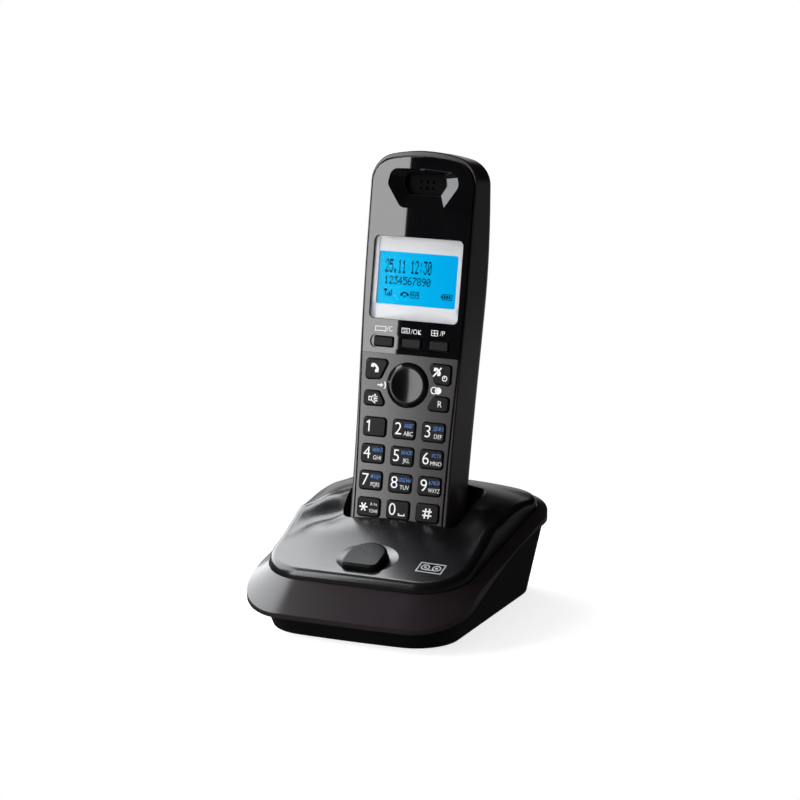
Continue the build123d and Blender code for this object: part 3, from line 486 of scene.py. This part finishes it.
def star_marks(x, y):
    """Star of three bars, with two small words."""
    centre = x - 2.1
    reach = 1.75
    words_right = 2.15
    word_height = 1.3
    word_squeeze = 0.8
    marks = []
    for t in (0, math.pi / 3, 2 * math.pi / 3):
        across = reach * math.cos(t)
        rise = reach * math.sin(t)
        marks.append(stroke(centre + across, y + rise, centre - across, y - rise, BOLD))
    for word, level in (("A→a", y + 1.3), ("TONE", y - 1.45)):
        marks.append(lettering(word, x + words_right, level, word_height, word_squeeze))
    return marks


def hash_marks(x, y):
    """Hash of two level and two leaning bars."""
    half = 1.95
    apart = (-0.8, 0.8)
    slant = 0.28
    level = [stroke(x - half, y + d, x + half, y + d, BOLD) for d in apart]
    leaning = [stroke(x + d - slant, y - half, x + d + slant, y + half, BOLD) for d in apart]
    return level + leaning


for index, key in enumerate(DIAL):
    x = (index % 3 - 1) * COLUMN_PITCH
    y = ROW_ONE - index // 3 * ROW_PITCH
    if key == "hash":
        marks = hash_marks(x, y)
    elif key == "star":
        marks = star_marks(x, y)
    else:
        marks = digit_marks(key, x, y)
    if key in SECOND:
        blue = [lettering(SECOND[key], x + LETTERS_RIGHT, y + SECOND_RISE, SECOND_HEIGHT, SECOND_SQUEEZE)]
        printed(f"legend_blue_{key}", f"key_{key}", KEY_TOP, blue, BLUE_INK)
    printed(f"legend_{key}", f"key_{key}", KEY_TOP, marks, WHITE_INK)


# Function keys
def receiver(x, y, size, turn):
    """Telephone receiver about a point, turned in degrees: a bowed grip with an ear piece at each end."""
    low = y - size * 0.9
    bow = size * 1.25
    pieces = arc(x, low, bow, size * 0.42, 52, 128, 14)
    ear_piece = [(-0.12, -0.24), (-0.12, 0.24), (0.55, 0.30), (0.55, -0.30)]
    for angle in (50, 130):
        t = math.radians(angle)
        end = Vector((x + bow * math.cos(t), low + bow * math.sin(t)))
        inward = Vector((-math.cos(t), -math.sin(t)))
        across = Vector((-inward.y, inward.x))
        pieces.append([tuple(end + inward * size * a + across * size * b) for a, b in ear_piece])
    return turned_about(pieces, x, y, turn)


def crossing_bar(x, y):
    """Bar that crosses a receiver out."""
    return stroke(x - 1.7, y - 2.0, x + 1.6, y + 1.6, BOLD)


def clock(x, y):
    """Clock face with two hands."""
    hand = 0.28
    hands = [stroke(x, y, x, y + 0.7, hand), stroke(x, y, x - 0.5, y + 0.3, hand)]
    return arc(x, y, 0.95, 0.32) + hands


def loudspeaker(x, y):
    """Loudspeaker about the middle of its sound lines: a box, an open horn and three lines."""
    line = 0.32
    marks = outline_box(x - 2.1, y - 0.7, x - 1.0, y + 0.7, line)
    marks += [stroke(x - 0.8, y + side * 0.7, x + 0.7, y + side * 1.8, line) for side in (1, -1)]
    marks += [stroke(x + 0.6, y + side * 1.8, x + 0.6, y + side * 1.0, line) for side in (1, -1)]
    marks += [stroke(x, y + d, x + 1.6, y + 2.0 * d, 0.3) for d in (-0.45, 0.0, 0.45)]
    return marks


TALK_AT = (-14.0, 73.0)
TALK_SIZE = 2.1
OFF_AT = (12.3, 73.6)
OFF_SIZE = 1.9
CLOCK_AT = (15.5, 71.2)
SPEAKER_AT = (-13.6, 60.9)
RECALL_AT = (14.2, 61.0)
RECALL_HEIGHT = 2.6
RECEIVER_TURN = -48
talk = receiver(*TALK_AT, TALK_SIZE, RECEIVER_TURN)
off = receiver(*OFF_AT, OFF_SIZE, RECEIVER_TURN) + [crossing_bar(*OFF_AT)] + clock(*CLOCK_AT)
recall = [lettering("R", *RECALL_AT, RECALL_HEIGHT, 0.95)]
printed("legend_talk", "talk_key", KEY_TOP, talk, WHITE_INK)
printed("legend_off", "off_key", KEY_TOP, off, WHITE_INK)
printed("legend_speaker", "speaker_key", KEY_TOP, loudspeaker(*SPEAKER_AT), WHITE_INK)
printed("legend_recall", "recall_key", KEY_TOP, recall, WHITE_INK)


# Signs on the plate beside the navigator
def arrow_to_bow(x, y):
    """Arrow that points right, into a bow about its middle."""
    line = 0.45
    shaft = stroke(x - 1.2, y, x + 0.9, y, line)
    head = [(x + 0.2, y - 0.8), (x + 1.3, y), (x + 0.2, y + 0.8)]
    return [shaft, head] + arc(x, y, 2.2, line, -38, 38, 10)


def ring_and_disc(x, y):
    """Ring with a filled disc on its right."""
    return arc(x, y, 1.25, 0.42) + [disc(x + 1.7, y, 1.35)]


ARROW_AT = (-11.6, 66.4)
RING_AT = (11.2, 66.2)
beside = arrow_to_bow(*ARROW_AT) + ring_and_disc(*RING_AT)
printed("legend_plate", "handset", PLATE, beside, WHITE_INK)

# Signs over the soft keys, each with a letter or two
FINE = 0.22


def book(x, y):
    """Open book: two boxes side by side."""
    wide = 2.2
    half = 0.85
    left_page = outline_box(x - wide, y - half, x, y + half, FINE)
    right_page = outline_box(x, y - half, x + wide, y + half, FINE)
    return left_page + right_page


def sheet_of_lines(x, y):
    """Sheet with two lines on it."""
    edge = outline_box(x - 1.6, y - 0.9, x + 1.6, y + 0.9, FINE)
    return edge + [stroke(x - 1.0, y + d, x + 1.0, y + d, 0.18) for d in (-0.3, 0.3)]


def window(x, y):
    """Window with four panes."""
    wide = 1.3
    tall = 1.0
    edge = outline_box(x - wide, y - tall, x + wide, y + tall, FINE)
    return edge + [stroke(x, y - tall, x, y + tall, FINE), stroke(x - wide, y, x + wide, y, FINE)]


BOOK_AT = (-13.2, 88.35)
SHEET_AT = (-2.6, 88.3)
WINDOW_AT = (9.6, 88.3)
SOFT_HEIGHT = 2.0
over = book(*BOOK_AT) + [lettering("/C", -9.3, 88.4, SOFT_HEIGHT, 0.95)]
over += sheet_of_lines(*SHEET_AT) + [lettering("/OK", 1.9, 88.0, SOFT_HEIGHT, 0.92)]
over += window(*WINDOW_AT) + [lettering("/P", 12.9, 88.3, SOFT_HEIGHT, 0.95)]
printed("legend_soft_keys", "handset", PLATE, over, WHITE_INK)

# Display: characters of five by seven dots, a number for the bits of each row
DOT_ROWS = {
    "0": (14, 17, 19, 21, 25, 17, 14),
    "1": (4, 12, 4, 4, 4, 4, 14),
    "2": (14, 17, 1, 2, 4, 8, 31),
    "3": (31, 2, 4, 2, 1, 17, 14),
    "4": (2, 6, 10, 18, 31, 2, 2),
    "5": (31, 16, 30, 1, 1, 17, 14),
    "6": (6, 8, 16, 30, 17, 17, 14),
    "7": (31, 1, 2, 4, 8, 8, 8),
    "8": (14, 17, 17, 14, 17, 17, 14),
    "9": (14, 17, 17, 15, 1, 2, 12),
    ":": (0, 4, 4, 0, 4, 4, 0),
    ".": (0, 0, 0, 0, 0, 12, 12),
    " ": (0, 0, 0, 0, 0, 0, 0),
}
DOTS_WIDE = 5
DOTS_TALL = 7
DOT_OVERLAP = 0.02
SCREEN_PRINT = 0.02


def dot_text(text, x, y, wide, tall):
    """Characters from their lower left corner, with the size of a dot."""
    cells = []
    for place, character in enumerate(text):
        left = x + place * (DOTS_WIDE + 1) * wide
        for row, bits in enumerate(DOT_ROWS[character]):
            y0 = y + (DOTS_TALL - 1 - row) * tall - DOT_OVERLAP
            for column in range(DOTS_WIDE):
                if bits >> (DOTS_WIDE - 1 - column) & 1:
                    x0 = left + column * wide - DOT_OVERLAP
                    cells.append(area(x0, y0, x0 + wide + 2 * DOT_OVERLAP, y0 + tall + 2 * DOT_OVERLAP))
    return cells


def signal_marks(x, y):
    """Aerial above its foot, with three bars that grow to the right."""
    bar_step = 0.75
    horns = [(x - 1.0, y + 2.7), (x + 1.0, y + 2.7), (x, y + 1.4)]
    marks = [horns, area(x - 0.15, y, x + 0.15, y + 1.6)]
    for step in (0.0, bar_step, 2 * bar_step):
        marks.append(area(x + 0.7 + step, y, x + 1.2 + step, y + 1.0 + step))
    return marks


def call_marks(x, y):
    """Receiver bowed above a point, with its ear pieces and a rest."""
    marks = arc(x, y, 1.9, 0.6, 35, 145, 12)
    marks += [area(x - 1.8, y + 0.6, x - 0.8, y + 1.4), area(x + 0.8, y + 0.6, x + 1.8, y + 1.4)]
    marks += [area(x - 0.35, y + 0.1, x + 0.35, y + 0.8)]
    return marks


def recorder_marks(x, y):
    """Two small reels in a box."""
    reel_out = 0.8
    tape = y - 0.35
    marks = outline_box(x - 1.7, y - 1.15, x + 1.7, y + 1.15, 0.3)
    for reel in (x - reel_out, x + reel_out):
        marks += arc(reel, y + 0.15, 0.45, 0.3, count=14)
    marks += [stroke(x - reel_out, tape, x + reel_out, tape, 0.28)]
    return marks


def battery_marks(x, y):
    """Battery with three bars."""
    bar_step = 1.05
    marks = outline_box(x - 2.0, y - 1.0, x + 2.0, y + 1.0, 0.28)
    marks += [area(x - 2.7, y - 0.45, x - 2.1, y + 0.45)]
    for step in (0.0, bar_step, 2 * bar_step):
        marks.append(area(x - 1.5 + step, y - 0.6, x - 0.75 + step, y + 0.6))
    return marks


TIME_ROW = (-14.4, 110.4)
TIME_DOT = (0.30, 0.74)
NUMBER_ROW = (-14.4, 105.9)
NUMBER_DOT = (0.33, 0.44)
lines = dot_text("25.11 12:30", *TIME_ROW, *TIME_DOT)
lines += dot_text("1234567890", *NUMBER_ROW, *NUMBER_DOT)
SIGNAL_AT = (-13.6, 101.2)
CALL_AT = (-5.4, 101.0)
RECORDER_AT = (-1.2, 102.25)
BATTERY_AT = (12.6, 102.4)
signs = signal_marks(*SIGNAL_AT) + call_marks(*CALL_AT)
signs += recorder_marks(*RECORDER_AT) + battery_marks(*BATTERY_AT)
printed("display_marks", "handset", SCREEN, lines + signs, SEGMENTS, SCREEN_PRINT)

# Sound waves on the locator button
WAVE_SOURCE = (-2.0, 0.6)
WAVE_REACHES = (1.5, 2.7, 3.9)
WAVE_LINE = 0.42
WAVE_SPREAD = 42
waves = [disc(*WAVE_SOURCE, 0.45, 14)]
for reach in WAVE_REACHES:
    waves += arc(*WAVE_SOURCE, reach, WAVE_LINE, -WAVE_SPREAD, WAVE_SPREAD, 10)
printed("legend_locator", "locator_button", BUTTON_TOP, waves, DARK_INK)

# Tape sign laid on the panel's crown: two reels in a box
TAPE_LINE = 0.5
TAPE_PRINT = 0.1
TAPE_HALF = (5.0, 3.0)
REEL_OUT = 2.3
REEL_UP = 0.2
REEL_RADIUS = 1.55
REEL_FOOT = -1.35
HUB_RADIUS = 0.6
crown = BVHTree.FromObject(nodes["base_top_panel"], bpy.context.evaluated_depsgraph_get())
tape = outline_box(-TAPE_HALF[0], -TAPE_HALF[1], *TAPE_HALF, TAPE_LINE)
tape += [stroke(-REEL_OUT, REEL_FOOT, REEL_OUT, REEL_FOOT, TAPE_LINE)]
for x in (-REEL_OUT, REEL_OUT):
    tape += arc(x, REEL_UP, REEL_RADIUS, TAPE_LINE) + [disc(x, REEL_UP, HUB_RADIUS)]
printed("legend_tape", "base", TAPE_PLANE, tape, GREY_INK, TAPE_PRINT, crown)

# Camera, fitted to the photograph and placed in metres
CAMERA_PLACE = Vector((0.47558, -1.07977, 0.35574))
CAMERA_TARGET = Vector((0.00443, -0.0095, 0.08641))
SENSOR_MM = 36.0
FOCAL_MM = 141.18
camera_data = bpy.data.cameras.new("camera")
camera_data.sensor_width = SENSOR_MM
camera_data.lens = FOCAL_MM
camera_data.clip_start = 0.05
camera_data.clip_end = 30.0
camera = bpy.data.objects.new("camera", camera_data)
scene.collection.objects.link(camera)
camera.location = CAMERA_PLACE
camera.rotation_euler = (CAMERA_TARGET - CAMERA_PLACE).to_track_quat("-Z", "Y").to_euler()
scene.camera = camera


# Lamps, in metres and watts
def softbox(name, place, aim, size, power, colour=(1, 1, 1), roll=0.0):
    """Rectangular soft light aimed at a point, rolled about its axis by some degrees."""
    data = bpy.data.lights.new(name, "AREA")
    data.shape = "RECTANGLE"
    data.size = size[0]
    data.size_y = size[1]
    data.energy = power
    data.color = colour
    lamp = bpy.data.objects.new(name, data)
    scene.collection.objects.link(lamp)
    lamp.location = place
    aimed = (Vector(aim) - Vector(place)).to_track_quat("-Z", "Y")
    rolled = Quaternion((0, 0, 1), math.radians(roll))
    lamp.rotation_euler = (aimed @ rolled).to_euler()
    lamp.visible_camera = False


# The fascia mirrors the strip's edge down its middle; the panel's left flank mirrors both boxes
COOL_WHITE = (0.95, 0.98, 1.0)
softbox(
    "front_strip", place=(-0.166, -0.241, 0.157), aim=(-0.047, 0.031, 0.112),
    size=(0.09, 0.32), power=0.75, roll=4.15,
)
softbox(
    "left_box", place=(-0.3205, 0.05, 0.1776), aim=(-0.1665, 0.05, -0.0794),
    size=(0.50, 0.35), power=3.4, colour=COOL_WHITE,
)
softbox(
    "top_box", place=(-0.068, 0.055, 0.186), aim=(-0.036, -0.005, 0.036),
    size=(0.085, 0.065), power=0.17, colour=COOL_WHITE,
)

# World: white to the camera and an even light for matte faces
# Shiny faces see a glow low behind the object, on its left
WHITE = 1.0
AMBIENT = 0.4
UP = Vector((0.0, 0.0, 1.0))
GLOW_SIDE = Vector((-0.707, 0.707, 0.0))
GLOW_HEIGHTS = (0.06, 0.50)
GLOW_EDGE = (0.78, 0.98)
GLOW_TOP = 0.01


def make_world():
    """White studio world."""
    world = bpy.data.worlds.new("studio")
    world.use_nodes = True
    tree = world.node_tree
    path = tree.nodes.new("ShaderNodeLightPath")
    direction = tree.nodes.new("ShaderNodeTexCoord").outputs["Generated"]
    low = remap(tree, along(tree, direction, UP), WHITE, GLOW_TOP, *GLOW_HEIGHTS)
    behind = remap(tree, along(tree, direction, GLOW_SIDE), 0.0, 1.0, *GLOW_EDGE)
    level = pick(tree, path.outputs["Is Glossy Ray"], AMBIENT, product(tree, low, behind))
    level = pick(tree, path.outputs["Is Camera Ray"], level, WHITE)
    sky = tree.nodes["Background"]
    sky.inputs["Color"].default_value = (1, 1, 1, 1)
    tree.links.new(level, sky.inputs["Strength"])
    return world


scene.world = make_world()

# Floor: to the camera it is white, with the object's shadow near its middle
# Shiny faces see it dark, with a paler strip that leads away behind the object
FLOOR_HALF = 4.0
SHADOW_REACH = (0.08, 0.20)
STRIP_WAY = Vector((-0.403, 0.915, 0.0))
STRIP_SIDE = Vector((0.915, 0.403, 0.0))
STRIP_START = (0.10, 0.60)
STRIP_EDGE_SQUARED = (0.04, 0.16)
LIT_GLOW = 0.75
DARK_GLOW = 0.07
STRIP_GLOW = 0.4


def make_floor_material():
    """Pale floor that looks different to the camera and to shiny faces."""
    made, tree, shader, place = start_material("pale_floor")
    shader.inputs["Base Color"].default_value = (0.5, 0.5, 0.5, 1)
    shader.inputs["Roughness"].default_value = 0.9
    lit = tree.nodes.new("ShaderNodeAddShader")
    tree.links.new(shader.outputs["BSDF"], lit.inputs[0])
    tree.links.new(emission(tree, LIT_GLOW), lit.inputs[1])
    distance = tree.nodes.new("ShaderNodeVectorMath")
    distance.operation = "LENGTH"
    tree.links.new(place, distance.inputs[0])
    far = remap(tree, distance.outputs["Value"], 0.0, 1.0, *SHADOW_REACH)
    to_camera = mixed(tree, far, lit.outputs["Shader"], emission(tree, WHITE))
    aside = along(tree, place, STRIP_SIDE)
    near_middle = remap(tree, product(tree, aside, aside), 1.0, 0.0, *STRIP_EDGE_SQUARED)
    behind = remap(tree, along(tree, place, STRIP_WAY), 0.0, 1.0, *STRIP_START)
    on_strip = product(tree, behind, near_middle)
    to_gloss = mixed(tree, on_strip, emission(tree, DARK_GLOW), emission(tree, STRIP_GLOW))
    path = tree.nodes.new("ShaderNodeLightPath")
    to_others = mixed(tree, path.outputs["Is Glossy Ray"], shader.outputs["BSDF"], to_gloss)
    seen = mixed(tree, path.outputs["Is Camera Ray"], to_others, to_camera)
    tree.links.new(seen, tree.nodes["Material Output"].inputs["Surface"])
    return made


floor_mesh = bpy.data.meshes.new("floor")
sheet = bmesh.new()
bmesh.ops.create_grid(sheet, x_segments=8, y_segments=8, size=FLOOR_HALF)
sheet.to_mesh(floor_mesh)
sheet.free()
floor_mesh.materials.append(make_floor_material())
floor = bpy.data.objects.new("floor", floor_mesh)
scene.collection.objects.link(floor)

scene.view_settings.view_transform = "Standard"
